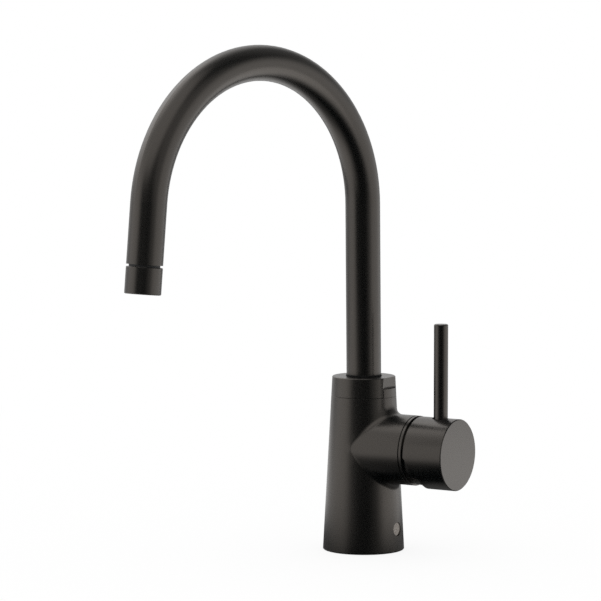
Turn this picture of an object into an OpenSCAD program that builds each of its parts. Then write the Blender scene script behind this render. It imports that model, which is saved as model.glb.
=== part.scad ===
// Single-lever kitchen faucet with a high arched spout and a pull-out end piece.
// The origin is on the body's axis at the worktop. +Z is up, +X runs out along the handle's axis,
// and -Y is the front. The spout is drawn swung a little past the front, away from the handle.

/* [Body] */
// Diameter of the body at the worktop
base_d = 52.8; // [48:0.2:58]
// Diameter of the taper at its top
taper_top_d = 40.8; // [39:0.1:44]
// Height of the whole taper, collar included
taper_h = 113; // [110:0.5:124]
// Height of the collar
collar_h = 12.7; // [11.8:0.1:14]
// Distance from the body's axis to the flat on the collar
collar_flat_x = 19.1; // [18.6:0.1:20]
// Rounding of the body's lower edge
base_round = 0.8; // [0.4:0.1:1.5]
// Chamfer on the edges of the seams
seam_chamfer = 0.2; // [0.1:0.05:0.5]
// Height of the handle's axis above the worktop
handle_z = 66.2; // [64:0.2:68]
// Diameter of the side branch
branch_d = 45; // [43:0.1:45.2]
// How far the branch and the flange sit above the handle's axis
branch_rise = 0.8; // [0:0.1:1]
// Radius of the fillet between branch and taper
branch_fillet = 4; // [2:0.1:4.4]
// Distance from the body's axis to the end of the branch
branch_end = 38.5; // [37.5:0.1:38.8]

/* [Base fittings] */
// Diameter of the threaded socket for the shank
shank_d = 33; // [32:0.5:34]
// Depth of the shank socket
shank_depth = 20; // [19:0.5:22]
// Drilled diameter of a threaded water port
port_thread_d = 9; // [8:0.1:9.2]
// Depth of a threaded water port
port_thread_depth = 10; // [8:0.5:14]
// Distance of the water ports from the body's axis
port_offset = 11.5; // [11.3:0.1:11.6]
// Angle between the outlet port and each inlet port
port_angle = 62; // [58:1:70]
// Diameter of the drilled waterways
waterway_d = 5.2; // [4.4:0.2:5.4]
// Width of the base gasket's groove
gasket_w = 3; // [2:0.2:3.2]
// Thickness of the base gasket
gasket_t = 1.5; // [1:0.1:2.5]
// Height of the lock screw and its plug
plug_z = 14.8; // [13:0.2:16]
// Diameter of the round plug
plug_d = 8.8; // [7:0.2:9.6]
// Diameter of the lock screw
lock_screw_d = 6; // [4:0.5:6]

/* [Spout] */
// Outer diameter of the spout tube
tube_d = 22.4; // [21.6:0.1:22.4]
// Wall of the spout tube
tube_wall = 1; // [0.8:0.1:1.2]
// Azimuth of the spout as drawn
spout_az = -103.35; // [-150:0.05:-30]
// How far the spout swings to each side of the front
swivel_each_way = 60; // [30:5:60]
// Lean of the riser towards the outlet
riser_lean = 0.67; // [0.2:0.01:1]
// Straight length of the riser above the collar
riser_len = 110.5; // [60:0.5:200]
// Radius of the arch, to the tube's centre line
arch_r = 92.2; // [70:0.2:120]
// Angle that the arch turns through
arch_sweep = 173.9; // [150:0.1:180]
// Straight length of the tip, end piece included
tip_len = 55.2; // [55:0.2:80]

/* [Pull-out end] */
// Length of the end piece that shows below the groove
nozzle_len = 16.6; // [15.5:0.1:22]
// Width of the groove between tube and end piece
groove_w = 1.3; // [0.8:0.1:2]
// Depth of the groove
groove_depth = 1.6; // [1.2:0.1:1.8]
// Diameter of the guide that slides in the tube
guide_d = 17.2; // [16.4:0.1:17.4]
// Length of the guide behind the end piece
guide_len = 23.4; // [20:0.2:24]
// Outer diameter of the hose
hose_d = 11; // [10:0.2:11.2]
// Bore of the hose
hose_bore_d = 7; // [6:0.2:7.4]
// Across-corners size of one flow cell
flow_cell = 2.2; // [1.6:0.1:3]

/* [Handle] */
// Diameter of the handle's drum
hub_d = 45.9; // [45.2:0.1:47]
// Wall of the drum
hub_wall = 1.5; // [1.4:0.1:1.6]
// Distance from the body's axis to the drum's end face
hub_face_x = 70.1; // [69:0.1:72]
// Distance from the body's axis to the drum's rear edge
hub_rear_x = 42.4; // [42.2:0.1:42.8]
// Thickness of the drum's end
hub_end_t = 3; // [2.4:0.1:3.4]
// Radius of the cut that frees the drum's lower rear
hub_cut_r = 25; // [24:0.5:27]
// Depth of that cut at the drum's lowest point
hub_cut_depth = 8.8; // [8.4:0.1:9.4]
// Diameter of the lever
lever_d = 9.1; // [7:0.1:9.4]
// Distance from the body's axis to the lever
lever_x = 57.3; // [56.6:0.1:58]
// Height of the lever's top above the handle's axis
lever_top = 83.1; // [60:0.5:120]
// Width of the recess round the lever's foot
lever_recess_w = 0.9; // [0.6:0.1:1.1]
// How far the handle tilts open
tilt_max = 24; // [15:0.5:24]
// How far the handle turns each way from its middle
mix_each_way = 45; // [30:5:50]

/* [Cartridge] */
// Diameter of the cartridge
cartridge_d = 34.8; // [34.6:0.1:34.9]
// Distance from the body's axis to the cartridge's seat
seat_x = 20; // [19.8:0.1:20.2]
// Distance from the body's axis to the handle's pivot
pivot_x = 46; // [45.8:0.1:46.2]
// Radius of the round cover inside the drum
dome_r = 20.9; // [20.5:0.1:20.9]
// Diameter of the pivot pin
pin_d = 3.5; // [3:0.1:4]
// Side of the stem's square end
stem_side = 8; // [7:0.1:8.4]
// Diameter of the ball on the stem's inner end
ball_d = 5; // [4.6:0.1:5.2]
// Diameter of the moving disc
moving_disc_d = 22.4; // [21.8:0.1:22.6]
// Thickness of each ceramic disc
disc_t = 3; // [2.8:0.1:3.2]

/* [Clearances] */
// Radial gap of a running fit
running_gap = 0.05; // [0.02:0.01:0.1]
// Radial gap where one piece drops into another
fit_gap = 0.1; // [0.05:0.05:0.15]
// Gap kept between pieces that move past each other
free_gap = 0.3; // [0.2:0.05:0.4]

/* [Hidden] */
$fn = 96;

// How far a cutting shape runs past the face that it opens
over = 1;

// Outer radius of the taper at a height
function taper_r(z) = (base_d + (taper_top_d - base_d) * z / taper_h) / 2;

// The fillet runs over the branch and under it, and dies out at its sides
taper_lean = atan((base_d - taper_top_d) / 2 / taper_h);
fillet_steps = 6;
fillet_stations = 24;
fillet_dip = 0.05;
fillet_root = 1.5;
fillet_end_sink = 0.25;
fillet_reach = 76;

// The foot of the body: the gasket lies midway between socket and rounded edge
gasket_mid_r = (shank_d / 2 + base_d / 2 - base_round) / 2 + 1;
plug_len = 3.2;
plug_seat_x = taper_r(plug_z) - plug_len;
plug_sink = 0.9;

// Heights on the body's axis
seam_h = taper_h - collar_h;
neck_depth = 14.6;
keeper_depth = 2.1;
neck_floor = seam_h - neck_depth;
neck_step = seam_h - keeper_depth;

// The swivel: the foot soldered to the tube turns in the body's neck
tube_r = tube_d / 2;
tube_in_r = tube_r - tube_wall;
foot_wall = 2.8;
sleeve_wall = 1.6;
foot_r = tube_r + foot_wall;
sleeve_r = tube_r + sleeve_wall;
glide_t = 0.7;
foot_bottom = neck_floor + glide_t + fit_gap;
foot_shoulder = neck_step - 2 * fit_gap;
foot_lift = 4.9;
foot_top = seam_h + foot_lift;
seat_t = 2.5;
tube_seat = foot_bottom + seat_t;
seal_r = 0.8;
seal_up = 6.5;
seal_z = foot_bottom + seal_up;
neck_r = foot_r + running_gap;
keeper_w = 1.6;
keeper_r = foot_r + keeper_w;
lug_len = 3.2;
lug_r = sleeve_r + lug_len;
lug_half = 7;
lug_lift = 1;
lug_t = 3.6;
lug_z = seam_h + lug_lift;
lug_top = lug_z + lug_t;
lug_az = spout_az + 180;
swing_centre = 90;

// The collar and the stop ring that it covers
stop_wall = 2.2;
stop_r = lug_r + stop_wall;
stop_bore_r = sleeve_r + 0.5;
stop_h = 5.8;
slot_floor = lug_z - free_gap;
window_half = 21;
window_gap = 0.3;
window_top = seam_h + stop_h + window_gap;
recess_top = window_top + fit_gap;
tongue_top = window_top - 2 * window_gap;
bush_wall = 2.2;
bush_r = tube_r + bush_wall;
bush_z = recess_top;
lip_t = 1.9;
lip_gap = 0.6;
bush_top = taper_h - lip_t - 0.1;

// The spout's centre line: a short foot, a slight bend, the riser, the arch and the tip
bend_r = 150;
bend_z = taper_h - bend_r * tan(riser_lean / 2);
joint_gap = 0.0002;
joint_skin = 0.05;
joint_reach = 1;

// The end piece, measured back from the outlet
tube_end = nozzle_len + groove_w;
rim_r = tube_r - groove_depth;
guide_r = guide_d / 2;
bush_in_r = guide_r + fit_gap;
bush_len = 20;
guide_end = nozzle_len + guide_len;
guide_lead = 3;
guide_bore_r = 5.1;
spigot_r = 6.5;
spigot_len = 4.4;
aerator_r = tube_r - 1.15;
aerator_len = 11.4;
guide_seat_w = 1.6;
guide_floor = 2;
valve_from = nozzle_len + guide_floor;
valve_len = 12;
connector_thread_r = guide_bore_r - running_gap;
connector_thread_len = 5;
hex_r = 7.4;
hex_len = 3.5;
crimp_wall = 1.4;
crimp_r = hose_d / 2 + crimp_wall;
crimp_back = 1.2;
crimp_end = tip_len - crimp_back;
crimp_hold = 5;
crimp_seat = crimp_end - crimp_hold;
barb_r = hose_bore_d / 2 - fit_gap;
cell_gap = 0.35;

// The hose's lower end stays clear of the shank socket
hose_way_r = hose_d / 2 + 0.7;
ferrule_r = hose_d / 2 + 0.45;
ferrule_gap = 0.6;
ferrule_floor = 3.4;
ferrule_grip = 10;
ferrule_z = shank_depth + ferrule_gap;
ferrule_seat = ferrule_z + ferrule_floor;
ferrule_top = ferrule_seat + ferrule_grip;

// The water ports and the drilled ways
port_r = port_thread_d / 2;
way_r = waterway_d / 2;
riser_way_r = 3.2;
inlet_y = 5.6;
inlet_z = 3.6;
outlet_z = -6.4;
port_seal_r = 0.75;
port_seal_ring_r = way_r + 0.6 + port_seal_r;
peg_r = 1.5;
peg_y = 12.5;
peg_z = -6;
peg_len = 3;

// The cartridge along the handle's axis
chamber_r = cartridge_d / 2 + 0.35;
cartridge_r = cartridge_d / 2;
base_t = 4.5;
fixed_x = seat_x + base_t;
moving_x = fixed_x + disc_t;
carrier_x = moving_x + disc_t;
carrier_len = 4.6;
ball_r = ball_d / 2;
pocket_floor = carrier_x + 0.6;
ball_x = pocket_floor + ball_r + free_gap;
ball_arm = pivot_x - ball_x;
disc_travel = ball_arm * sin(tilt_max);
disc_rest_z = -disc_travel / 2;
moving_r = moving_disc_d / 2;
fixed_r = moving_r + disc_travel / 2 + free_gap;
housing_step_x = carrier_x + 1.6;
housing_web = 1.2;
upper_r = 14.7;
upper_in_r = 12.6;
rotor_flange_x = carrier_x + 5.5;
rotor_flange_t = 2.6;
rotor_r = upper_in_r - free_gap;
rotor_neck_r = 9.5;
fork_len = 4;
rotor_end_x = pivot_x + fork_len;
plate_x = rotor_flange_x + rotor_flange_t + 0.2;
plate_t = 1.8;
carrier_half = 7.4;
carrier_r = 9.4;
pocket_r = ball_r + 0.35;
rod_r = 1.9;
stem_w = stem_side + 1;
slot_half_y = stem_w / 2 + fit_gap;
slot_half_z = 8.2;
limit_x = plate_x + plate_t;
limit_t = 2.4;
limit_lug_half = 8;
limit_lug_r = 12.4;
nut_r = chamber_r - running_gap;
nut_in_r = upper_r + fit_gap;
nut_neck_r = 16.4;
nut_step_x = branch_end - 0.3;
nut_neck_len = 2.9;
nut_end_x = branch_end + nut_neck_len;

// The cover, its gasket and the handle
cover_gap = 0.4;
flange_x = branch_end + cover_gap;
flange_t = 1.9;
flange_r = branch_d / 2 - 0.05;
dome_wall = 2;
dome_reach = 4.9;
dome_end_x = pivot_x + dome_reach;
hub_r = hub_d / 2;
hub_in_r = hub_r - hub_wall;
hub_chamfer = 0.5;
boss_r = 7.5;
boss_from_pivot = 9.5;
boss_x = pivot_x + boss_from_pivot;
stem_grip = 8.7;
stem_end_x = boss_x + stem_grip;
socket_end_x = stem_end_x + 2 * fit_gap;
cut_rear_x = hub_rear_x + hub_cut_depth;
hub_cut_up = 2.7;
lever_r = lever_d / 2;
stud_r = 3;
stud_bottom = 10;
recess_floor = hub_r - 1.0;
lever_block_r = 5.9;
lever_chamfer = 0.5;
screw_in = 4.5;
screw_x = boss_x + screw_in;
screw_r = 2.5;
cap_r = 2.6;

// Points of a quarter turn or less, for a turned profile
function arc_points(centre_r, centre_z, r, from, to) =
  [for (i = [0:6]) let (a = from + (to - from) * i / 6) [centre_r + r * cos(a), centre_z + r * sin(a)]];

module rod(r, from, to) {
  translate([0, 0, from])
    cylinder(r = r, h = to - from);
}

module ring(r_out, r_in, from, to) {
  difference() {
    rod(r_out, from, to);
    rod(r_in, from - over, to + over);
  }
}

// A slice of a disc between two azimuths
module sector(r, from_az, to_az, from, to) {
  translate([0, 0, from])
    rotate([0, 0, from_az])
      rotate_extrude(angle = to_az - from_az)
        square([r, to - from]);
}

// A straight bar from one end to the other, with both end edges chamfered
module turned_bar(r, from, to, low, high) {
  rotate_extrude()
    polygon([[0, from], [r - low, from], [r, from + low], [r, to - high], [r - high, to], [0, to]]);
}

// Lays the local Z axis along X; local -X then points up
module along_x() {
  rotate([0, 90, 0])
    children();
}

module on_handle_axis() {
  translate([0, 0, handle_z])
    along_x()
      children();
}

module on_branch_axis() {
  translate([0, 0, branch_rise])
    on_handle_axis()
      children();
}

// Places a local Z rod at a height above the handle's axis
module above_axis(y, z) {
  translate([-z, y, 0])
    children();
}

module spout_plane() {
  rotate([0, 0, spout_az])
    children();
}

// Turns what follows about an axis square to the spout's plane
module swing(radius, angle) {
  translate([radius, 0, 0])
    rotate([0, angle, 0])
      translate([-radius, 0, 0])
        children();
}

module at_riser() {
  spout_plane()
    translate([0, 0, bend_z])
      swing(bend_r, riser_lean)
        children();
}

module at_arch() {
  at_riser()
    translate([0, 0, riser_len])
      children();
}

module at_tip() {
  at_arch()
    swing(arch_r, arch_sweep)
      children();
}

// Local Z runs back into the spout from the outlet
module at_outlet() {
  at_tip()
    translate([0, 0, tip_len])
      rotate([180, 0, 0])
        children();
}

// A round bar bent in the local XZ plane, starting along Z
module bent(r, radius, angle) {
  translate([radius, 0, 0])
    rotate([90, 0, 0])
      rotate([0, 0, 180])
        rotate_extrude(angle = -angle)
          translate([radius, 0])
            circle(r = r);
}

// The straight stretch after a bend; a thinner core carries it across the joint
module after_bend(r, length) {
  rod(r, joint_gap, length);
  rod(r - joint_skin, -joint_reach, joint_reach);
}

// A round bar along the spout's centre line, from a height to a distance from the outlet
module spout_bar(r, from_z, to_outlet) {
  spout_plane() {
    rod(r, from_z, bend_z);
    translate([0, 0, bend_z])
      bent(r, bend_r, riser_lean);
  }
  at_riser()
    after_bend(r, riser_len);
  at_arch()
    bent(r, arch_r, arch_sweep);
  at_tip()
    after_bend(r, tip_len - to_outlet);
}

module taper(from, to, low, high) {
  rotate_extrude()
    polygon([
      [0, from],
      [taper_r(from) - low, from],
      [taper_r(from + low), from + low],
      [taper_r(to - high), to - high],
      [taper_r(to) - high, to],
      [0, to]
    ]);
}

// The fillet where the branch leaves the taper: a ball rolls along both, and the filler fills
// what it can't reach. Its ends and edges dip under the two surfaces.
function fillet_centre(turn) =
  let (
    reach = branch_d / 2 + branch_fillet,
    y = reach * sin(turn),
    z = handle_z + branch_rise + reach * cos(turn),
    from_axis = taper_r(z) + branch_fillet / cos(taper_lean)
  )
  [sqrt(pow(from_axis, 2) - pow(y, 2)), y, z];
function towards_taper(centre) =
  let (az = atan2(centre[1], centre[0]))
  -[cos(az) * cos(taper_lean), sin(az) * cos(taper_lean), sin(taper_lean)];
function towards_branch(turn) = [0, -sin(turn), -cos(turn)];

// Points of one cross-section, from the branch to the taper and back inside
function fillet_section(turn, sink) =
  let (
    centre = fillet_centre(turn),
    a = towards_branch(turn),
    b = towards_taper(centre),
    sweep = acos(a * b)
  )
  concat(
    [for (i = [0:fillet_steps])
      let (
        t = i / fillet_steps,
        along = (sin((1 - t) * sweep) * a + sin(t * sweep) * b) / sin(sweep),
        dip = i == 0 || i == fillet_steps ? fillet_dip : 0
      )
      centre + (branch_fillet + dip + sink) * along],
    [centre + (branch_fillet / cos(sweep / 2) + fillet_root) * (a + b) / norm(a + b)]
  );

module fillet_run(from, to) {
  ring_n = fillet_steps + 2;
  sections = [for (i = [0:fillet_stations])
    let (t = i / fillet_stations)
    fillet_section(from + (to - from) * t, i == 0 || i == fillet_stations ? fillet_end_sink : 0)];
  points = [for (ring = sections) for (p = ring) p];
  sides = [for (i = [0:fillet_stations - 1]) for (j = [0:ring_n - 1])
    let (k = (j + 1) % ring_n, a = i * ring_n, b = a + ring_n)
    each [[a + j, a + k, b + k], [a + j, b + k, b + j]]];
  start = [for (j = [1:ring_n - 2]) [0, j + 1, j]];
  last = fillet_stations * ring_n;
  end = [for (j = [1:ring_n - 2]) [last, last + j, last + j + 1]];
  polyhedron(points = points, faces = concat(sides, start, end));
}

module body_outside() {
  rotate_extrude()
    polygon(concat(
      [[0, 0]],
      arc_points(taper_r(base_round) - base_round, base_round, base_round, -90, 0),
      [
        [taper_r(seam_h - seam_chamfer), seam_h - seam_chamfer],
        [taper_r(seam_h) - seam_chamfer, seam_h],
        [0, seam_h]
      ]
    ));
  on_branch_axis()
    turned_bar(branch_d / 2, 0, branch_end, 0, seam_chamfer);
  fillet_run(-fillet_reach, fillet_reach);
  fillet_run(180 - fillet_reach, 180 + fillet_reach);
}

// One drilled way: up from its threaded port, then across to the cartridge's seat
module waterway(az, y, z) {
  x_up = port_offset * cos(az);
  y_up = port_offset * sin(az);
  across = sqrt(pow(seat_x - x_up, 2) + pow(y - y_up, 2));
  translate([x_up, y_up, 0]) {
    rod(port_r, shank_depth - over, shank_depth + port_thread_depth);
    rod(riser_way_r, shank_depth, handle_z + z + way_r);
  }
  translate([x_up, y_up, handle_z + z])
    rotate([0, 0, atan2(y - y_up, seat_x - x_up)])
      along_x()
        rod(way_r, 0, across);
  on_handle_axis()
    above_axis(y, z)
      rod(way_r, seat_x - over, seat_x + over);
}

module body() {
  color([0.16, 0.15, 0.14])
    difference() {
      body_outside();
      // Shank socket, and the groove for the base gasket
      rod(shank_d / 2, -over, shank_depth);
      ring(gasket_mid_r + gasket_w / 2, gasket_mid_r - gasket_w / 2, -over, gasket_t);
      // Hose way, and the neck that holds the spout's foot
      rod(hose_way_r, shank_depth - over, neck_floor + over);
      rod(neck_r, neck_floor, seam_h + over);
      rod(keeper_r, neck_step, seam_h + over);
      // Cartridge chamber and its two peg holes
      on_handle_axis()
        rod(chamber_r, seat_x, branch_end + over);
      for (side = [-1, 1])
        on_handle_axis()
          above_axis(side * peg_y, peg_z)
            rod(peg_r + fit_gap, seat_x - peg_len - free_gap, seat_x + over);
      waterway(0, 0, outlet_z);
      waterway(port_angle, inlet_y, inlet_z);
      waterway(-port_angle, -inlet_y, inlet_z);
      // Lock screw and the plug's seat
      translate([0, 0, plug_z])
        along_x() {
          rod(lock_screw_d / 2 + running_gap, 0, base_d / 2);
          rod(plug_d / 2 + fit_gap, plug_seat_x, base_d / 2 + over);
        }
    }
}

module base_gasket() {
  color([0.05, 0.05, 0.05])
    ring(
      gasket_mid_r + gasket_w / 2 - fit_gap,
      gasket_mid_r - gasket_w / 2 + fit_gap,
      0,
      gasket_t
    );
}

module lock_screw() {
  color([0.35, 0.35, 0.36])
    translate([0, 0, plug_z])
      along_x()
        difference() {
          turned_bar(lock_screw_d / 2, shank_d / 2 + 0.3, plug_seat_x - 0.2, 0.6, 0.3);
          rod(lock_screw_d / 4, plug_seat_x - 2.6, plug_seat_x, $fn = 6);
        }
}

module screw_plug() {
  color([0.13, 0.12, 0.12])
    translate([0, 0, plug_z])
      along_x()
        turned_bar(plug_d / 2, plug_seat_x, taper_r(plug_z) - plug_sink, 0, 0.2);
}

module lower_glide() {
  color([0.85, 0.84, 0.8])
    ring(foot_r - fit_gap, tube_in_r, neck_floor, neck_floor + glide_t);
}

module retaining_ring() {
  color([0.72, 0.6, 0.36])
    ring(keeper_r - fit_gap / 2, sleeve_r + fit_gap, neck_step, seam_h - fit_gap);
}

// The lug on the spout's foot runs in this ring's slot; the tongue fills the collar's window
module stop_ring() {
  slot_half = swivel_each_way + lug_half + 0.5;
  color([0.15, 0.14, 0.13])
    difference() {
      union() {
        rod(stop_r, seam_h, seam_h + stop_h);
        intersection() {
          taper(seam_h, tongue_top, 0, 0);
          sector(base_d, -window_half, window_half, seam_h, tongue_top);
        }
      }
      rod(stop_bore_r, seam_h - over, seam_h + stop_h + over);
      sector(lug_r + free_gap, swing_centre - slot_half, swing_centre + slot_half,
             slot_floor, seam_h + stop_h + over);
    }
}

module collar() {
  window_reach = window_half + window_gap / stop_r * 180 / PI;
  color([0.16, 0.15, 0.14])
    difference() {
      taper(seam_h, taper_h, seam_chamfer, 0.4);
      rod(stop_r + running_gap, seam_h - over, recess_top);
      rod(bush_r + running_gap, window_top - over, taper_h - lip_t);
      rod(tube_r + lip_gap, taper_h - lip_t - over, taper_h + over);
      difference() {
        sector(base_d, -window_reach, window_reach, seam_h - over, window_top);
        rod(stop_r - over, seam_h - 2 * over, window_top + over);
      }
      // Flat above the window
      translate([collar_flat_x, -base_d / 2, recess_top])
        cube([base_d, base_d, collar_h]);
    }
}

module upper_glide() {
  color([0.85, 0.84, 0.8])
    ring(bush_r, tube_r + running_gap, bush_z, bush_top);
}

// The three holes that pass water through the cartridge's lower pieces
module port_holes(r, from, to) {
  for (spot = [[0, outlet_z], [inlet_y, inlet_z], [-inlet_y, inlet_z]])
    above_axis(spot[0], spot[1])
      rod(r, from, to);
}

module cartridge_base() {
  color([0.86, 0.86, 0.84])
    on_handle_axis()
      difference() {
        union() {
          turned_bar(cartridge_r, seat_x, fixed_x, 0.4, 0);
          for (side = [-1, 1])
            above_axis(side * peg_y, peg_z)
              turned_bar(peg_r, seat_x - peg_len, seat_x + over, 0.4, 0);
        }
        port_holes(way_r, seat_x - over, fixed_x + over);
        port_holes(port_seal_ring_r + port_seal_r, seat_x - over, seat_x + 2 * port_seal_r);
      }
}

module port_seals() {
  color([0.06, 0.06, 0.06])
    on_handle_axis()
      for (spot = [[0, outlet_z], [inlet_y, inlet_z], [-inlet_y, inlet_z]])
        above_axis(spot[0], spot[1])
          translate([0, 0, seat_x + port_seal_r])
            rotate_extrude()
              translate([port_seal_ring_r, 0])
                circle(r = port_seal_r);
}

module fixed_disc() {
  color([0.93, 0.92, 0.88])
    on_handle_axis()
      difference() {
        rod(fixed_r - fit_gap, fixed_x, moving_x);
        port_holes(way_r, fixed_x - over, moving_x + over);
      }
}

module cartridge_housing() {
  color([0.88, 0.88, 0.86])
    on_handle_axis()
      difference() {
        union() {
          rod(cartridge_r, fixed_x, housing_step_x);
          rod(upper_r, fixed_x, limit_x);
        }
        rod(fixed_r, fixed_x - over, housing_step_x - housing_web);
        rod(upper_in_r, fixed_x, plate_x);
        rod(rotor_neck_r + free_gap, plate_x - over, limit_x + over);
      }
}

// Threaded into the branch, with a hexagon outside that a spanner turns
module retaining_nut() {
  color([0.74, 0.62, 0.38])
    on_handle_axis()
      difference() {
        union() {
          turned_bar(nut_r, housing_step_x, nut_step_x, 0.4, 0.4);
          rod(nut_neck_r, nut_step_x - over, nut_end_x);
        }
        rod(nut_in_r, housing_step_x - over, nut_end_x + over);
      }
}

module limit_ring() {
  slot_half = mix_each_way + limit_lug_half + 0.7;
  color([0.75, 0.2, 0.15])
    on_handle_axis()
      difference() {
        rod(upper_r - free_gap, limit_x, limit_x + limit_t);
        rod(rotor_neck_r + 0.4, limit_x - over, limit_x + limit_t + over);
        sector(limit_lug_r + 0.4, 180 - slot_half, 180 + slot_half,
               limit_x - over, limit_x + limit_t + over);
      }
}

module cover_gasket() {
  color([0.05, 0.05, 0.05])
    difference() {
      on_branch_axis()
        rod(branch_d / 2 - 1, branch_end, flange_x);
      on_handle_axis()
        rod(nut_r + 0.5, branch_end - over, flange_x + over);
    }
}

module dome_cover() {
  color([0.18, 0.17, 0.16])
    difference() {
      union() {
        on_branch_axis()
          turned_bar(flange_r, flange_x, flange_x + flange_t, seam_chamfer, seam_chamfer);
        on_handle_axis()
          intersection() {
            translate([0, 0, pivot_x])
              sphere(r = dome_r);
            rod(hub_r, flange_x + over, dome_end_x);
          }
      }
      on_handle_axis() {
        rod(nut_neck_r + running_gap, flange_x - over, nut_end_x + over);
        intersection() {
          translate([0, 0, pivot_x])
            sphere(r = dome_r - dome_wall);
          rod(hub_r, nut_end_x, dome_end_x + over);
        }
      }
    }
}

// Turns the discs: two rails guide the carrier, and the forked neck holds the stem's pin
module rotor() {
  color([0.9, 0.9, 0.88])
    on_handle_axis()
      difference() {
        union() {
          rod(rotor_r, carrier_x + 0.5, rotor_flange_x + rotor_flange_t);
          turned_bar(rotor_neck_r, rotor_flange_x, rotor_end_x, 0, 0.6);
          sector(limit_lug_r, 180 - limit_lug_half, 180 + limit_lug_half, limit_x + 0.4, limit_x + 2);
        }
        translate([-rotor_r - over, -carrier_half - 0.2, carrier_x - over])
          cube([2 * (rotor_r + over), 2 * (carrier_half + 0.2), rotor_flange_x - carrier_x + over]);
        translate([-slot_half_z, -slot_half_y, rotor_flange_x - over])
          cube([2 * slot_half_z, 2 * slot_half_y, rotor_end_x - rotor_flange_x + 2 * over]);
        translate([0, 0, pivot_x])
          rotate([90, 0, 0])
            rod(pin_d / 2, -rotor_neck_r - over, rotor_neck_r + over);
      }
}

module pivot_pin() {
  pin_half = sqrt(pow(rotor_neck_r, 2) - pow(pin_d / 2, 2)) - 0.2;
  color([0.7, 0.71, 0.73])
    on_handle_axis()
      translate([0, 0, pivot_x])
        rotate([90, 0, 0])
          turned_bar(pin_d / 2, -pin_half, pin_half, 0.3, 0.3);
}

// The pocket in the face joins the inlets to the outlet when the disc moves up
module moving_disc() {
  pocket_top = inlet_z - way_r - disc_rest_z - 0.6;
  color([0.93, 0.92, 0.88])
    on_handle_axis()
      above_axis(0, disc_rest_z)
        difference() {
          rod(moving_r, moving_x, carrier_x);
          intersection() {
            rod(moving_r - 1.3, moving_x - over, moving_x + 1.8);
            translate([-pocket_top, -moving_r, moving_x - over])
              cube([2 * moving_r, 2 * moving_r, 1.8 + over]);
          }
          carrier_pegs(1.1, 1.1);
        }
}

module carrier_pegs(r, depth) {
  for (side = [-1, 1])
    above_axis(side * 5.5, 6.5)
      rod(r, carrier_x - depth, carrier_x + over);
}

module disc_carrier() {
  color([0.3, 0.45, 0.7])
    on_handle_axis() {
      difference() {
        above_axis(0, disc_rest_z)
          union() {
            intersection() {
              rod(carrier_r, carrier_x, carrier_x + carrier_len);
              translate([-carrier_r, -carrier_half, carrier_x])
                cube([2 * carrier_r, 2 * carrier_half, carrier_len]);
            }
            carrier_pegs(1, 1);
          }
        rod(pocket_r, pocket_floor, carrier_x + carrier_len + over);
      }
    }
}

module stem() {
  color([0.72, 0.73, 0.75])
    on_handle_axis()
      difference() {
        union() {
          translate([0, 0, ball_x])
            sphere(r = ball_r);
          rod(rod_r, ball_x, pivot_x - over);
          translate([-stem_side / 2, -stem_w / 2, pivot_x - stem_w / 2])
            cube([stem_side, stem_w, stem_w]);
          translate([-stem_side / 2, -stem_side / 2, pivot_x])
            cube([stem_side, stem_side, stem_end_x - pivot_x]);
        }
        translate([0, 0, pivot_x])
          rotate([90, 0, 0])
            rod(pin_d / 2 + running_gap, -stem_w, stem_w);
      }
}

// Clears the branch and the cover as the drum's lower rear swings in
module hub_rear_cut() {
  translate([cut_rear_x - hub_cut_r, 0, handle_z - hub_r + hub_cut_up])
    rotate([90, 0, 0])
      rod(hub_cut_r, -hub_r - over, hub_r + over);
}

module lever_line() {
  translate([lever_x, 0, handle_z])
    children();
}

module handle_hub() {
  color([0.17, 0.16, 0.15])
    difference() {
      union() {
        difference() {
          on_handle_axis()
            turned_bar(hub_r, hub_rear_x, hub_face_x, 0.2, hub_chamfer);
          on_handle_axis()
            rod(hub_in_r, hub_rear_x - over, hub_face_x - hub_end_t);
          hub_rear_cut();
        }
        on_handle_axis()
          rod(boss_r, boss_x, hub_face_x - hub_end_t / 2);
        lever_line()
          intersection() {
            rod(lever_block_r, boss_r - over, hub_r);
            along_x()
              rod(hub_r - hub_wall / 2, -hub_r, hub_r);
          }
      }
      // Socket for the stem, the lever's stud and recess, and the stem screw
      on_handle_axis()
        translate([-stem_side / 2 - fit_gap, -stem_side / 2 - fit_gap, boss_x - over])
          cube([stem_side + 2 * fit_gap, stem_side + 2 * fit_gap, socket_end_x - boss_x + over]);
      lever_line() {
        rod(stud_r + running_gap, stud_bottom - 0.4, hub_r);
        rod(lever_r + lever_recess_w, recess_floor, hub_r + over);
      }
      translate([screw_x, 0, handle_z])
        rod(screw_r + running_gap, -boss_r - over, 0);
      translate([screw_x, 0, handle_z])
        rod(cap_r + running_gap, -hub_r - over, -hub_in_r + over);
    }
}

module lever() {
  color([0.17, 0.16, 0.15])
    lever_line() {
      turned_bar(lever_r, recess_floor, lever_top, 0, lever_chamfer);
      turned_bar(stud_r, stud_bottom, recess_floor + over, 0.4, 0);
    }
}

module stem_screw() {
  color([0.35, 0.35, 0.36])
    translate([screw_x, 0, handle_z])
      difference() {
        turned_bar(screw_r, -boss_r - 0.8, -stem_side / 2, 0.3, 0.3);
        rod(screw_r / 2, -boss_r - 2, -boss_r + 1, $fn = 6);
      }
}

module screw_cap() {
  color([0.13, 0.12, 0.12])
    translate([screw_x, 0, handle_z])
      intersection() {
        rod(cap_r, -hub_r, -hub_in_r + 0.2);
        along_x()
          rod(hub_r - 0.15, -hub_r, hub_r);
      }
}

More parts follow.
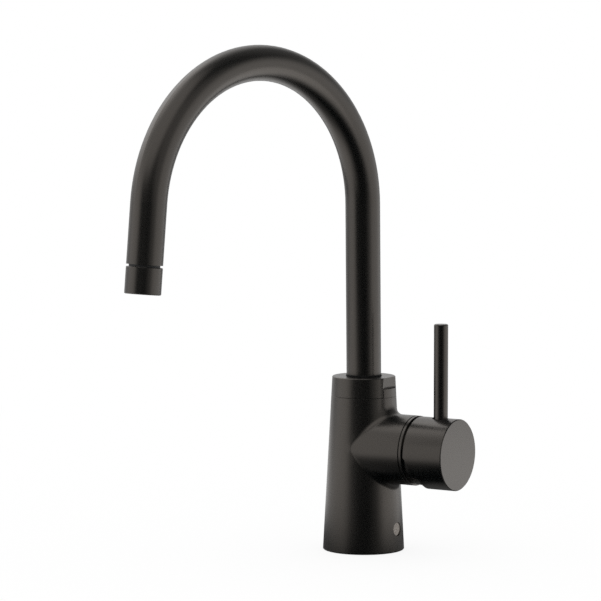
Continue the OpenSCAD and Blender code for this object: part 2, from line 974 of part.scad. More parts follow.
module spout_foot() {
  color([0.74, 0.62, 0.38])
    difference() {
      union() {
        turned_bar(foot_r, foot_bottom, foot_shoulder, 0.6, 0.3);
        rod(sleeve_r, foot_shoulder - over, foot_top);
        sector(lug_r, lug_az - lug_half, lug_az + lug_half, lug_z, lug_top);
      }
      rod(tube_in_r, foot_bottom - over, tube_seat + over);
      rod(tube_r, tube_seat, foot_top + over);
      ring(foot_r + over, foot_r - 2 * seal_r, seal_z - seal_r, seal_z + seal_r);
    }
}

module swivel_seal() {
  color([0.05, 0.05, 0.05])
    translate([0, 0, seal_z])
      rotate_extrude()
        translate([foot_r - seal_r, 0])
          circle(r = seal_r);
}

module spout_tube() {
  color([0.16, 0.15, 0.14])
    difference() {
      spout_bar(tube_r, tube_seat, tube_end);
      spout_bar(tube_in_r, tube_seat - over, tube_end - over);
    }
}

// Lines the tube's end; its rim is what shows in the groove
module dock_bush() {
  color([0.06, 0.06, 0.06])
    at_outlet()
      difference() {
        union() {
          rod(tube_in_r, tube_end, tube_end + bush_len);
          rod(rim_r, nozzle_len, tube_end + over);
        }
        rod(bush_in_r, nozzle_len - over, tube_end + bush_len + over);
      }
}

module spray_hose() {
  color([0.12, 0.12, 0.12])
    difference() {
      spout_bar(hose_d / 2, ferrule_seat, crimp_seat);
      spout_bar(hose_bore_d / 2, ferrule_seat - over, crimp_seat - over);
    }
}

module hose_ferrule() {
  color([0.74, 0.62, 0.38])
    difference() {
      turned_bar(ferrule_r, ferrule_z, ferrule_top, 0.4, 0.3);
      rod(hose_d / 2, ferrule_seat, ferrule_top + over);
      rod(hose_bore_d / 2 - 0.5, ferrule_z - over, ferrule_seat + over);
    }
}

module nozzle_shell() {
  color([0.16, 0.15, 0.14])
    at_outlet()
      difference() {
        turned_bar(tube_r, 0, nozzle_len, 0.4, 0.4);
        rod(aerator_r + running_gap, -over, aerator_len);
        rod(spigot_r + running_gap, aerator_len - over, nozzle_len + over);
      }
}

module nozzle_guide() {
  color([0.2, 0.2, 0.2])
    at_outlet()
      difference() {
        union() {
          turned_bar(guide_r, nozzle_len, guide_end, 0, guide_lead / 2);
          rod(spigot_r, nozzle_len - spigot_len, nozzle_len + over);
        }
        rod(guide_bore_r, valve_from, guide_end + over);
        rod(guide_bore_r - guide_seat_w, nozzle_len - spigot_len - over, valve_from + over);
      }
}

// A plug in a sleeve lets water out and keeps it from going back
module check_valve() {
  sleeve = guide_bore_r - running_gap;
  wall = 1.1;
  seat_w = 1.3;
  seat_from = valve_from + valve_len - 2.5;
  plug_t = 2.5;
  stalk_r = 1.1;
  color([0.25, 0.4, 0.7])
    at_outlet() {
      difference() {
        rod(sleeve, valve_from, valve_from + valve_len);
        rod(sleeve - wall, valve_from - over, seat_from);
        rod(sleeve - wall - seat_w, valve_from, valve_from + valve_len + over);
      }
      rod(sleeve - wall - 0.8, seat_from - plug_t, seat_from);
      rod(stalk_r, valve_from + over, seat_from - over);
      // Three bridges carry the stalk
      for (a = [0, 60, 120])
        rotate([0, 0, a])
          translate([-sleeve + wall / 2, -0.5, valve_from])
            cube([2 * sleeve - wall, 1, 2]);
    }
}

module hose_connector() {
  color([0.74, 0.62, 0.38])
    at_outlet()
      difference() {
        union() {
          rod(connector_thread_r, guide_end - connector_thread_len, guide_end + over);
          rod(hex_r, guide_end, guide_end + hex_len, $fn = 6);
          turned_bar(crimp_r, guide_end + hex_len, crimp_end, 0.3, 0.3);
        }
        ring(hose_d / 2, barb_r, crimp_seat, crimp_end + over);
        rod(barb_r - 0.8, guide_end - connector_thread_len - over, crimp_end + over);
      }
}

module nozzle_seal() {
  color([0.05, 0.05, 0.05])
    at_outlet()
      ring(aerator_r - fit_gap, spigot_r, aerator_len - 0.9, aerator_len);
}

module aerator_housing() {
  color([0.12, 0.12, 0.12])
    at_outlet()
      difference() {
        turned_bar(aerator_r, 0.6, aerator_len - 0.9, 0.3, 0.2);
        rod(aerator_r - 1.4, 1.4, aerator_len);
        rod(aerator_r - 2, 0, 2);
      }
}

// Fine screen behind the flow cells
module flow_mesh() {
  pitch = 1.5;
  hole = 1.1;
  reach = 5;
  color([0.7, 0.7, 0.7])
    at_outlet()
      difference() {
        rod(aerator_r - 1.4 - fit_gap, 4.4, 4.8);
        for (i = [-reach:reach])
          for (j = [-reach:reach])
            if (norm([i, j]) * pitch < aerator_r - 2.6)
              translate([i * pitch - hole / 2, j * pitch - hole / 2, 4])
                cube([hole, hole, 1]);
      }
}

// Honeycomb that straightens the water
module flow_insert() {
  pitch = flow_cell * cos(30) + cell_gap;
  rows = 4;
  color([0.3, 0.3, 0.3])
    at_outlet()
      difference() {
        rod(aerator_r - 1.4 - fit_gap, 1.4, 4.4);
        for (i = [-rows:rows])
          for (j = [-rows:rows]) {
            x = (i + j / 2) * pitch;
            y = j * pitch * sin(60);
            if (norm([x, y]) < aerator_r - 2.2 - flow_cell / 2)
              translate([x, y, 0])
                rotate([0, 0, 30])
                  rod(flow_cell / 2, 1, 5, $fn = 6);
          }
      }
}

body();
base_gasket();
lock_screw();
screw_plug();
lower_glide();
retaining_ring();
stop_ring();
collar();
upper_glide();
cartridge_base();
port_seals();
fixed_disc();
cartridge_housing();
retaining_nut();
limit_ring();
cover_gasket();
dome_cover();
rotor();
pivot_pin();
moving_disc();
disc_carrier();
stem();
handle_hub();
lever();
stem_screw();
screw_cap();
spout_foot();
swivel_seal();
spout_tube();
dock_bush();
spray_hose();
hose_ferrule();
nozzle_shell();
nozzle_guide();
check_valve();
hose_connector();
nozzle_seal();
aerator_housing();
flow_mesh();
flow_insert();
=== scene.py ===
"""Looks of a kitchen faucet with a pull-out end piece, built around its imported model.

Lengths are in metres, in the frame of the CAD: the origin is on the body's axis at the worktop,
+Z is up, +X runs out along the handle's axis and -Y is the front.
"""

import math

import bpy
from mathutils import Matrix, Vector


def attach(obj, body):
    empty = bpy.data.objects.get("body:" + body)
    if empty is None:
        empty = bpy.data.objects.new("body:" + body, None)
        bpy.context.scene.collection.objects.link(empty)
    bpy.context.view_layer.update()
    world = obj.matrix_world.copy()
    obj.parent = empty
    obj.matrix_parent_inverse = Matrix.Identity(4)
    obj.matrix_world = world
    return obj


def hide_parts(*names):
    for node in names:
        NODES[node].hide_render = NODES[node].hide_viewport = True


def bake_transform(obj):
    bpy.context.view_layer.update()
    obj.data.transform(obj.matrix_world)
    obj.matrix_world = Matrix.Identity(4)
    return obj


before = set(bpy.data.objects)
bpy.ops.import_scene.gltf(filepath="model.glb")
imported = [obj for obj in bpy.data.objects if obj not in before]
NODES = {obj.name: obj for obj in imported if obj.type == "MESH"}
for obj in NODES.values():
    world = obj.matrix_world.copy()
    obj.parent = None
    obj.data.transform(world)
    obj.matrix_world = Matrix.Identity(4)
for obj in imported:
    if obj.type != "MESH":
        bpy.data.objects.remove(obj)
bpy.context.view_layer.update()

MM = 0.001

# Camera, worked out from the photograph
CAMERA_PLACE = Vector((1.02818, -1.70671, 0.33526))
CAMERA_FORWARD = Vector((-0.53153, 0.84259, -0.08675))
CAMERA_LENS = 185.5
CAMERA_FAR = 60.0

# The spout's centre line, as in the CAD: each stretch's length, and the radius of its bend if any
SPOUT_AZIMUTH = math.radians(-103.35)
COLLAR_TOP_Z = 113 * MM
FOOT_BEND_R = 150 * MM
RISER_LEAN = math.radians(0.67)
RISER_LEN = 110.5 * MM
ARCH_R = 92.2 * MM
ARCH_SWEEP = math.radians(173.9)
TIP_LEN = 55.2 * MM
TUBE_R = 11.2 * MM
STRETCHES = (
    (COLLAR_TOP_Z - FOOT_BEND_R * math.tan(RISER_LEAN / 2), None),
    (FOOT_BEND_R * RISER_LEAN, FOOT_BEND_R),
    (RISER_LEN, None),
    (ARCH_R * ARCH_SWEEP, ARCH_R),
    (TIP_LEN, None),
)
SPOUT_LEN = sum(length for length, _ in STRETCHES)

# The hose runs from its lower ferrule to its crimp; the crimp is measured back from the outlet
HOSE_R = 5.5 * MM
HOSE_FOOT_Z = 24 * MM
CRIMP_END = 54 * MM
CRIMP_SEAT = 49 * MM
PULL_TRAVEL = 150 * MM
HOSE_SIDES = 28
FEED_ROWS = 150
TAIL_ROWS = 80

# The taper of the body, whose top is the collar's, and the branch that carries the handle
TAPER_BASE_R = 26.4 * MM
TAPER_TOP_R = 20.4 * MM
TAPER_SLOPE = (TAPER_BASE_R - TAPER_TOP_R) / COLLAR_TOP_Z
BRANCH_R = 22.5 * MM
BRANCH_RISE = 0.8 * MM
HANDLE_Z = 66.2 * MM
BRANCH_Z = HANDLE_Z + BRANCH_RISE

# The fillet where the branch leaves the taper: its radius over the branch and under it
FILLET_TOP_R = 6.2 * MM
FILLET_LOW_R = 4.35 * MM
FILLET_STEPS = 14
FILLET_STATIONS = 240

# The wiper ring: how far it reaches into the tube's coat and stands off it, and how far it goes
# below and above the collar's top
WIPER_BITE = 0.1 * MM
WIPER_WIDTH = 0.2 * MM
WIPER_SINK = 1.2 * MM
WIPER_RISE = 1.2 * MM
WIPER_ROUND = 0.12 * MM
WIPER_STEPS = 5
WIPER_SIDES = 96

# The threaded socket and the cartridge's chamber, which the coat leaves bare
SOCKET_R = 16.5 * MM
SOCKET_DEPTH = 20 * MM
SOCKET_PITCH = 2 * MM
CHAMBER_R = 17.75 * MM
EDGE_SLACK = 0.15 * MM
BARE_BRASS = (0.6, 0.43, 0.18)

# Noise stays mostly between these, so they are where a colour or a roughness ends
NOISE_LOW = 0.3
NOISE_HIGH = 0.7

# Each noise is given as its features per metre and its octaves of detail: mottle is in the
# colour, smears are in the gloss, and grain is in the surface

# How a metal's marks are drawn out: evenly, or along Z as on brushed metal
EVEN = (1, 1, 1)
BRUSHED = (1, 1, 0.1)

# The coat
COAT_DARK = (0.0009, 0.0017, 0.0022)
COAT_LIGHT = (0.0016, 0.0026, 0.003)
COAT_SHEEN = (1.0, 0.9, 0.81)
COAT_GLOSS = 1.0
COAT_ROUGHNESS = (0.26, 0.31)
COAT_MOTTLE = (60, 3)
COAT_SMEARS = (900, 2)
COAT_GRAIN = (2600, 2)
COAT_GRAIN_DEPTH = 0.008 * MM

# Metals and plastics; their roughness spreads below and above the value stated for each
METAL_MOTTLE = (180, 4)
METAL_SMEARS = (700, 3)
METAL_GRAIN = (2200, 2)
METAL_SMOOTHER = 0.07
METAL_ROUGHER = 0.09
PLASTIC_GLOSS = 0.45
PLASTIC_MOTTLE = (90, 3)
PLASTIC_SMEARS = (600, 2)
PLASTIC_GRAIN = (1800, 3)
PLASTIC_SPREAD = 0.06
RUBBER_GRAIN = (900, 3)
GRAIN_DEPTH = 0.012 * MM

# The hose's braid; its colours run from painted shade in the gaps between the strands to the
# strands' colour on their crowns, and end at these shares of the crowns' height
BRAID_STRANDS = 24
BRAID_PITCH = 1.6 * MM
BRAID_LIFT = 0.25 * MM
BRAID_GAP_SHADE = (0.008, 0.008, 0.009)
BRAID_CROWN = (0.075, 0.075, 0.076)
BRAID_COLOUR_ENDS = (0.1, 0.9)
BRAID_GLOSS = 0.4
BRAID_ROUGHNESS = (0.42, 0.55)
BRAID_SMEARS = (700, 2)

# The floor, and the light for matt surfaces
FLOOR_R = 0.8
FLOOR_SIDES = 96
FLOOR_DROP = 0.2 * MM
FLOOR_WHITE = 0.95
FLOOR_GLOW = 0.85
PLAIN_LIGHT = 0.95
# With this glow the open floor is just white
GLOW_STRENGTH = (1 - (1 - FLOOR_GLOW) * FLOOR_WHITE * PLAIN_LIGHT) / FLOOR_GLOW

# The way to the camera over the floor; angles are turned from it, to the camera's right
FRONT = Vector((-CAMERA_FORWARD.x, -CAMERA_FORWARD.y, 0)).normalized()
# Soft patches of light as gloss sees them: angle, elevation, even radius and soft edge in degrees,
# and strength
ROOM_PATCHES = (
    (-80, 5, 8, 34, 0.97),
    (-146, 29, 6, 54, 0.83),
    (94, -20, 20, 34, 0.9),
    (-30, 57, 27, 17, 0.77),
    (48, 20, 14, 22, 0.38),
    (-130, 40, 9, 27, 0.89),
    (148, 36, 20, 30, 0.2),
    (152, -8, 12, 28, 0.45),
    (-10, 42, 10, 40, 0.1),
)
# The same on the floor round the object, painted there as a glow that gloss sees
FLOOR_PATCHES = (
    (89, 0, 18, 38, 1.42),
    (-130, 0, 60, 63, 1.0),
)
# The floor's painted glow is dimmed near the object as a painted shadow: its share of the light
# there, and where that ends
NEAR_SHARE = 0.12
NEAR_START = 0.08
NEAR_END = 0.3


def make_camera():
    """The photograph's camera."""
    camera = bpy.data.objects.new("camera", bpy.data.cameras.new("camera"))
    bpy.context.scene.collection.objects.link(camera)
    camera.location = CAMERA_PLACE
    camera.rotation_euler = CAMERA_FORWARD.to_track_quat("-Z", "Y").to_euler()
    camera.data.lens = CAMERA_LENS
    camera.data.clip_end = CAMERA_FAR
    bpy.context.scene.camera = camera


# Materials


class Tree:
    """The nodes of a material or a world. A value is a constant, or the socket that makes it."""

    def __init__(self, owner):
        owner.use_nodes = True
        self.nodes = owner.node_tree.nodes
        self.links = owner.node_tree.links

    def feed(self, socket, value):
        if isinstance(value, bpy.types.NodeSocket):
            self.links.new(value, socket)
        else:
            socket.default_value = value

    def add(self, kind, inputs, **settings):
        node = self.nodes.new("ShaderNode" + kind)
        for name, setting in settings.items():
            setattr(node, name, setting)
        for key, value in inputs.items():
            self.feed(node.inputs[key], value)
        return node

    def calc(self, operation, *values):
        return self.add("Math", dict(enumerate(values)), operation=operation).outputs[0]

    def spread(self, source, start, end, low, high, **settings):
        """Goes from low to high while the source goes from start to end."""
        ends = {"From Min": start, "From Max": end, "To Min": low, "To Max": high}
        return self.add("MapRange", {"Value": source, **ends}, **settings).outputs["Result"]

    def choose(self, ray, shade, otherwise):
        """One shader for a kind of ray, another for the rest."""
        hit = self.add("LightPath", {}).outputs[ray]
        return self.add("MixShader", {"Fac": hit, 1: otherwise, 2: shade}).outputs[0]

    def patches(self, way, rows):
        """The summed light of round patches, each even in its middle, for a way to look."""
        light = 0
        for turn, elevation, even, edge, strength in rows:
            toward = turned_from_front(turn, elevation)
            dot = self.add("VectorMath", {0: way, 1: toward}, operation="DOT_PRODUCT")
            rim, middle = (math.cos(math.radians(angle)) for angle in (even + edge, even))
            round_patch = self.spread(dot.outputs["Value"], rim, middle, 0, strength,
                                      interpolation_type="SMOOTHSTEP")
            light = self.calc("ADD", round_patch, light)
        return light


class Shader(Tree):
    """A material built on its Principled node, with procedural detail."""

    def __init__(self, name, values):
        self.material = bpy.data.materials.new(name)
        super().__init__(self.material)
        self.inputs = self.nodes["Principled BSDF"].inputs
        self.coords = self.add("TexCoord", {}).outputs
        self.base = self.normal = None
        for key, value in values.items():
            self.feed(self.inputs[key], value)

    def noise(self, scale, detail, stretch=EVEN):
        mapping = self.add("Mapping", {"Vector": self.coords["Object"], "Scale": stretch})
        inputs = {"Vector": mapping.outputs["Vector"], "Scale": scale, "Detail": detail}
        return self.add("TexNoise", inputs).outputs["Fac"]

    def colour(self, source, dark, light, low=NOISE_LOW, high=NOISE_HIGH):
        ramp = self.add("ValToRGB", {"Fac": source})
        first, last = ramp.color_ramp.elements
        first.position, last.position = low, high
        first.color, last.color = (*dark, 1), (*light, 1)
        self.base = ramp.outputs["Color"]
        self.feed(self.inputs["Base Color"], self.base)

    def roughness(self, source, low, high):
        self.feed(self.inputs["Roughness"], self.spread(source, NOISE_LOW, NOISE_HIGH, low, high))

    def bump(self, source, distance):
        """Adds a relief to those that the surface has."""
        relief = self.add("Bump", {"Height": source, "Distance": distance})
        if self.normal is not None:
            self.feed(relief.inputs["Normal"], self.normal)
        self.normal = relief.outputs["Normal"]
        self.feed(self.inputs["Normal"], self.normal)

    def axes(self, space="Object"):
        """The three coordinates, as sockets."""
        return self.add("SeparateXYZ", {0: self.coords[space]}).outputs

    def reach(self, one, other):
        """Distance from an axis, from the two coordinates across it."""
        squares = [self.calc("MULTIPLY", value, value) for value in (one, other)]
        return self.calc("SQRT", self.calc("ADD", *squares))


def satin_coat(name):
    """A baked satin coat: nearly black, with a warm sheen and a fine grain."""
    paint = Shader(name, {"Specular IOR Level": COAT_GLOSS, "Specular Tint": (*COAT_SHEEN, 1)})
    paint.colour(paint.noise(*COAT_MOTTLE), COAT_DARK, COAT_LIGHT)
    paint.roughness(paint.noise(*COAT_SMEARS), *COAT_ROUGHNESS)
    paint.bump(paint.noise(*COAT_GRAIN), COAT_GRAIN_DEPTH)
    return paint


def coated_casting():
    """The body: coated outside, and bare metal in the chamber and in the threaded socket."""
    paint = satin_coat("satin_black_casting")
    x, y, z = paint.axes()
    from_body_axis = paint.reach(x, y)
    from_handle_axis = paint.reach(y, paint.calc("SUBTRACT", z, HANDLE_Z))
    # The chamber lies on the handle's side alone
    chamber = paint.calc("MULTIPLY", paint.calc("GREATER_THAN", x, 0),
                         paint.calc("LESS_THAN", from_handle_axis, CHAMBER_R + EDGE_SLACK))
    bore = paint.calc("LESS_THAN", from_body_axis, SOCKET_R + EDGE_SLACK)
    bare = paint.calc("MAXIMUM", bore, chamber)
    turns = paint.calc("ADD", paint.calc("DIVIDE", z, SOCKET_PITCH),
                       paint.calc("DIVIDE", paint.calc("ARCTAN2", y, x), 2 * math.pi))
    # The thread rises over half its pitch and falls over the other half
    ridge = paint.calc("PINGPONG", turns, 0.5)
    threaded = paint.calc("MULTIPLY", bare, paint.calc("LESS_THAN", z, SOCKET_DEPTH - EDGE_SLACK))
    paint.bump(paint.calc("MULTIPLY", ridge, threaded), SOCKET_PITCH)
    bare_or_coated = paint.add(
        "Mix", {"Factor": bare, "A": paint.base, "B": (*BARE_BRASS, 1)}, data_type="RGBA")
    paint.feed(paint.inputs["Base Color"], bare_or_coated.outputs["Result"])
    paint.feed(paint.inputs["Metallic"], bare)
    return paint.material


def braid():
    """A hose's sheath of crossing strands; its UV is a share of the way round, and metres along."""
    sheath = Shader("woven_sheath", {"Specular IOR Level": BRAID_GLOSS})
    u, v, _ = sheath.axes("UV")
    round_way = sheath.calc("MULTIPLY", u, BRAID_STRANDS)
    along = sheath.calc("DIVIDE", v, BRAID_PITCH)
    strands = []
    for sign in ("ADD", "SUBTRACT"):
        phase = sheath.calc("MULTIPLY", sheath.calc(sign, round_way, along), math.pi)
        strands.append(sheath.calc("SINE", phase))
    over = sheath.calc("GREATER_THAN", sheath.calc("MULTIPLY", *strands), 0)
    under = sheath.calc("SUBTRACT", 1, over)
    weave = sheath.calc("ADD", *(
        sheath.calc("MULTIPLY", sheath.calc("ABSOLUTE", strand), shows)
        for strand, shows in zip(strands, (over, under))))
    # Darker towards the gaps between the strands: painted shade
    sheath.colour(weave, BRAID_GAP_SHADE, BRAID_CROWN, *BRAID_COLOUR_ENDS)
    sheath.roughness(sheath.noise(*BRAID_SMEARS), *BRAID_ROUGHNESS)
    sheath.bump(weave, BRAID_LIFT)
    return sheath.material


def metal(name, dark, light, rough, stretch=EVEN):
    """Turned or cast metal with fine tool marks."""
    shader = Shader(name, {"Metallic": 1.0})
    shader.colour(shader.noise(*METAL_MOTTLE), dark, light)
    shader.roughness(shader.noise(*METAL_SMEARS, stretch),
                     rough - METAL_SMOOTHER, rough + METAL_ROUGHER)
    shader.bump(shader.noise(*METAL_GRAIN, stretch), GRAIN_DEPTH)
    return shader.material


def plastic(name, dark, light, rough, grain=PLASTIC_GRAIN):
    """Moulded plastic, rubber or ceramic, with a slight mottle and a fine grain."""
    shader = Shader(name, {"Specular IOR Level": PLASTIC_GLOSS})
    shader.colour(shader.noise(*PLASTIC_MOTTLE), dark, light)
    shader.roughness(shader.noise(*PLASTIC_SMEARS),
                     rough - PLASTIC_SPREAD, rough + PLASTIC_SPREAD)
    shader.bump(shader.noise(*grain), GRAIN_DEPTH)
    return shader.material


# By the CAD's slots: the darker and the lighter colour, the roughness, and where they aren't the
# usual ones, a metal's stretch or a plastic's grain
MATERIALS = {
    "satin_black": satin_coat("satin_black_coat").material,
    "brass": metal("machined_brass", (0.52, 0.36, 0.14), (0.66, 0.48, 0.2), 0.3),
    "steel": metal("brushed_steel", (0.42, 0.42, 0.42), (0.56, 0.56, 0.55), 0.3, BRUSHED),
    "ceramic": plastic("fired_ceramic", (0.74, 0.72, 0.66), (0.82, 0.8, 0.75), 0.22),
    "white_plastic": plastic("white_moulding", (0.66, 0.65, 0.61), (0.74, 0.73, 0.7), 0.42),
    "red_plastic": plastic("red_moulding", (0.42, 0.045, 0.03), (0.52, 0.07, 0.045), 0.4),
    "blue_plastic": plastic("blue_moulding", (0.05, 0.13, 0.36), (0.07, 0.18, 0.44), 0.4),
    "dark_plastic": plastic("dark_moulding", (0.012, 0.012, 0.012), (0.022, 0.021, 0.02), 0.5),
    "grey_plastic": plastic("grey_moulding", (0.16, 0.16, 0.16), (0.2, 0.2, 0.195), 0.45),
    "rubber": plastic(
        "moulded_rubber", (0.009, 0.009, 0.009), (0.018, 0.018, 0.018), 0.7, RUBBER_GRAIN),
    "hose_sheath": braid(),
}


def dress_nodes():
    """Gives each CAD node the material of its slot, or its own."""
    for node in NODES.values():
        for slot in node.material_slots:
            slot.material = MATERIALS[slot.material.name]
    NODES["body"].material_slots[0].material = coated_casting()
    NODES["screw_plug"].material_slots[0].material = plastic(
        "plug_moulding", (0.27, 0.242, 0.215), (0.31, 0.28, 0.25), 0.42)


# Meshes


def mesh_object(name, points, faces, material, smooth=True):
    """A mesh of one material, put in the scene."""
    mesh = bpy.data.meshes.new(name)
    mesh.from_pydata(points, [], faces)
    mesh.update()
    obj = bpy.data.objects.new(name, mesh)
    bpy.context.scene.collection.objects.link(obj)
    mesh.materials.append(material)
    mesh.polygons.foreach_set("use_smooth", [smooth] * len(mesh.polygons))
    return obj


def round_angles(count):
    """A full turn in even steps."""
    return [2 * math.pi * i / count for i in range(count)]


def grid_faces(rows, columns, rows_close=False, columns_close=False):
    """Faces between a grid's points, listed row by row; each way may close on itself."""
    faces = []
    for row in range(rows if rows_close else rows - 1):
        here, there = row * columns, (row + 1) % rows * columns
        for i in range(columns if columns_close else columns - 1):
            k = (i + 1) % columns
            faces.append((here + i, here + k, there + k, there + i))
    return faces


# The fillet where the branch leaves the taper


def fillet_ring(turn):
    """Points of the fillet's arc at an angle round the branch, from the branch to the taper."""
    lean = math.atan(TAPER_SLOPE)
    radius = FILLET_TOP_R + (FILLET_LOW_R - FILLET_TOP_R) * (1 - math.cos(turn)) / 2
    reach = BRANCH_R + radius
    y = reach * math.sin(turn)
    z = BRANCH_Z + reach * math.cos(turn)
    # The arc's centre stands off the taper by the radius, as it does off the branch
    from_axis = TAPER_BASE_R - TAPER_SLOPE * z + radius / math.cos(lean)
    centre = Vector((math.sqrt(from_axis ** 2 - y ** 2), y, z))
    to_branch = Vector((0, -math.sin(turn), -math.cos(turn)))
    azimuth = math.atan2(centre.y, centre.x)
    to_taper = -Vector((
        math.cos(azimuth) * math.cos(lean), math.sin(azimuth) * math.cos(lean), math.sin(lean)))
    return [centre + radius * to_branch.slerp(to_taper, i / FILLET_STEPS)
            for i in range(FILLET_STEPS + 1)]


def branch_fillet():
    """The photograph's larger fillet, over the casting's own."""
    points = [point for turn in round_angles(FILLET_STATIONS) for point in fillet_ring(turn)]
    faces = grid_faces(FILLET_STATIONS, FILLET_STEPS + 1, rows_close=True)
    fillet = mesh_object("branch_fillet", points, faces, MATERIALS["satin_black"])
    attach(fillet, "base")


# The hose: its lower stretch stays in the spout, and a short tail runs on to the pull-out end's
# seat


def walk(place, heading, length, radius):
    """The place and heading further along the spout's line, in the spout's own plane."""
    out, up = place
    if radius is None:
        return (out + length * math.sin(heading), up + length * math.cos(heading)), heading
    turned = heading + length / radius
    out += radius * (math.cos(heading) - math.cos(turned))
    up += radius * (math.sin(turned) - math.sin(heading))
    return (out, up), turned


def spout_frame(distance):
    """The point on the spout's line at a distance along it from the worktop, and its way on."""
    place, heading = (0.0, 0.0), 0.0
    for length, radius in STRETCHES:
        place, heading = walk(place, heading, min(distance, length), radius)
        distance -= length
        if distance <= 0:
            break
    outward = Vector((math.cos(SPOUT_AZIMUTH), math.sin(SPOUT_AZIMUTH), 0))
    upward = Vector((0, 0, 1))
    return (outward * place[0] + upward * place[1],
            outward * math.sin(heading) + upward * math.cos(heading))


def hose_mesh(name, stations):
    """A tube along the spout's line; a station is its distance, and the hose's length to there."""
    across = Vector((-math.sin(SPOUT_AZIMUTH), math.cos(SPOUT_AZIMUTH), 0))
    points = []
    for distance, _ in stations:
        centre, forward = spout_frame(distance)
        side = forward.cross(across)
        points += [centre + HOSE_R * (across * math.cos(turn) + side * math.sin(turn))
                   for turn in round_angles(HOSE_SIDES)]
    corners = []
    for (_, low), (_, high) in zip(stations, stations[1:]):
        for i in range(HOSE_SIDES):
            u, w = i / HOSE_SIDES, (i + 1) / HOSE_SIDES
            corners += [u, low, w, low, w, high, u, high]
    faces = grid_faces(len(stations), HOSE_SIDES, columns_close=True)
    hose = mesh_object(name, points, faces, MATERIALS["hose_sheath"])
    hose.data.uv_layers.new(name="along_hose").data.foreach_set("uv", corners)
    return hose


def make_hose():
    """The stretch that stays put, and the short one from the bend to the pull-out end's seat."""
    bend_end = SPOUT_LEN - TIP_LEN
    crimp = SPOUT_LEN - CRIMP_END
    lower = [HOSE_FOOT_Z + (bend_end - HOSE_FOOT_Z) * i / FEED_ROWS for i in range(FEED_ROWS + 1)]
    feed = hose_mesh("hose_feed", [(distance, distance) for distance in lower])
    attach(feed, "spout")
    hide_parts("spray_hose")
    stations = []
    for i in range(TAIL_ROWS + 1):
        # Even steps of the pull: the blend's weight t * t * (3 - 2 * t) equals pulled
        pulled = i / TAIL_ROWS
        t = 0.5 - math.sin(math.asin(1 - 2 * pulled) / 3)
        distance = bend_end + (crimp - bend_end) * t
        stations.append((distance, distance + pulled * PULL_TRAVEL))
    # The last station is the crimp's seat, with the whole pull counted in the hose's length
    seat = SPOUT_LEN - CRIMP_SEAT
    stations.append((seat, seat + PULL_TRAVEL))
    tail = hose_mesh("hose_tail", stations)
    spout_frame(bend_end)[0]
    spout_frame(crimp)[0]
    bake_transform(tail)


# The wiper ring that fills the gap between the tube's foot and the collar; its near-black colour is
# painted shade for the shadow in that gap


def wiper_ring():
    """A ring turned about the body's axis, from a profile of radii and heights."""
    inner, outer = TUBE_R - WIPER_BITE, TUBE_R + WIPER_WIDTH
    low, high = COLLAR_TOP_Z - WIPER_SINK, COLLAR_TOP_Z + WIPER_RISE
    profile = [(inner, high)]
    for i in range(WIPER_STEPS + 1):
        turn = math.pi / 2 * (1 - i / WIPER_STEPS)
        profile.append((outer - WIPER_ROUND * (1 - math.cos(turn)),
                        high - WIPER_ROUND * (1 - math.sin(turn))))
    profile += [(outer, low), (inner, low)]
    points = [(r * math.cos(turn), r * math.sin(turn), z)
              for turn in round_angles(WIPER_SIDES) for r, z in profile]
    faces = grid_faces(WIPER_SIDES, len(profile), rows_close=True, columns_close=True)
    # A rubber wiper, coloured near black, darker than the other rubber, as painted shade for the
    # shadow gap at the tube's foot
    rubber = plastic(
        "wiper_rubber_painted_shade", (0.0015, 0.0016, 0.0017), (0.003, 0.003, 0.003), 0.75, RUBBER_GRAIN)
    ring = mesh_object("wiper_ring", points, faces, rubber)
    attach(ring, "base")


# Light, floor and backdrop


def turned_from_front(turn, elevation):
    """The direction at an angle from the front and an elevation, both in degrees."""
    direction = FRONT.copy()
    direction.rotate(Matrix.Rotation(math.radians(turn), 3, "Z"))
    lift = math.radians(elevation)
    return direction * math.cos(lift) + Vector((0, 0, math.sin(lift)))


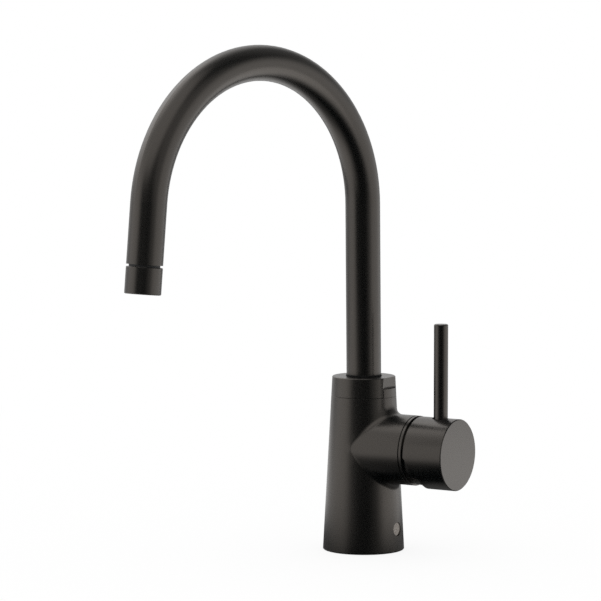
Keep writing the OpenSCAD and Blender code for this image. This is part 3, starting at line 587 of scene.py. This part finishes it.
def make_floor():
    """A pale round floor: white to the camera, with the object's shadow, and for gloss a painted
    glow in patches, dimmed near the object as a painted shadow.
    """
    material = bpy.data.materials.new("pale_floor")
    tree = Tree(material)
    tree.nodes.remove(tree.nodes["Principled BSDF"])
    place = tree.add("TexCoord", {}).outputs["Object"]
    way = tree.add("VectorMath", {0: place}, operation="NORMALIZE").outputs["Vector"]
    distance = tree.add("VectorMath", {0: place}, operation="LENGTH").outputs["Value"]
    # Painted shadow: the floor's glow for gloss fades to this share near the object
    share = tree.spread(distance, NEAR_START, NEAR_END, NEAR_SHARE, 1,
                        interpolation_type="SMOOTHSTEP")
    light = tree.calc("MULTIPLY", tree.patches(way, FLOOR_PATCHES), share)
    patched = tree.add("Emission", {"Strength": light}).outputs[0]
    pale = tree.add("BsdfDiffuse", {"Color": (FLOOR_WHITE, FLOOR_WHITE, FLOOR_WHITE, 1)}).outputs[0]
    glow = tree.add("Emission", {"Strength": GLOW_STRENGTH}).outputs[0]
    lit = tree.add("MixShader", {"Fac": FLOOR_GLOW, 1: pale, 2: glow}).outputs[0]
    shade = tree.choose("Is Glossy Ray", patched, pale)
    shade = tree.choose("Is Camera Ray", lit, shade)
    tree.feed(tree.nodes["Material Output"].inputs["Surface"], shade)
    points = [(FLOOR_R * math.cos(turn), FLOOR_R * math.sin(turn), -FLOOR_DROP)
              for turn in round_angles(FLOOR_SIDES)]
    mesh_object("floor", points, [range(FLOOR_SIDES)], material, smooth=False)


def make_world():
    """White to the camera and plain for matt surfaces; gloss sees a dark room with soft lights."""
    world = bpy.data.worlds.new("studio")
    bpy.context.scene.world = world
    tree = Tree(world)
    light = tree.patches(tree.add("TexCoord", {}).outputs["Generated"], ROOM_PATCHES)
    plain, room, white = (
        tree.add("Background", {"Color": (1, 1, 1, 1), "Strength": strength}).outputs[0]
        for strength in (PLAIN_LIGHT, light, 1))
    shade = tree.choose("Is Glossy Ray", room, plain)
    shade = tree.choose("Is Transmission Ray", white, shade)
    shade = tree.choose("Is Camera Ray", white, shade)
    tree.feed(tree.nodes["World Output"].inputs["Surface"], shade)


make_camera()
dress_nodes()
branch_fillet()
make_hose()
wiper_ring()
make_floor()
make_world()
bpy.context.scene.view_settings.view_transform = "Standard"
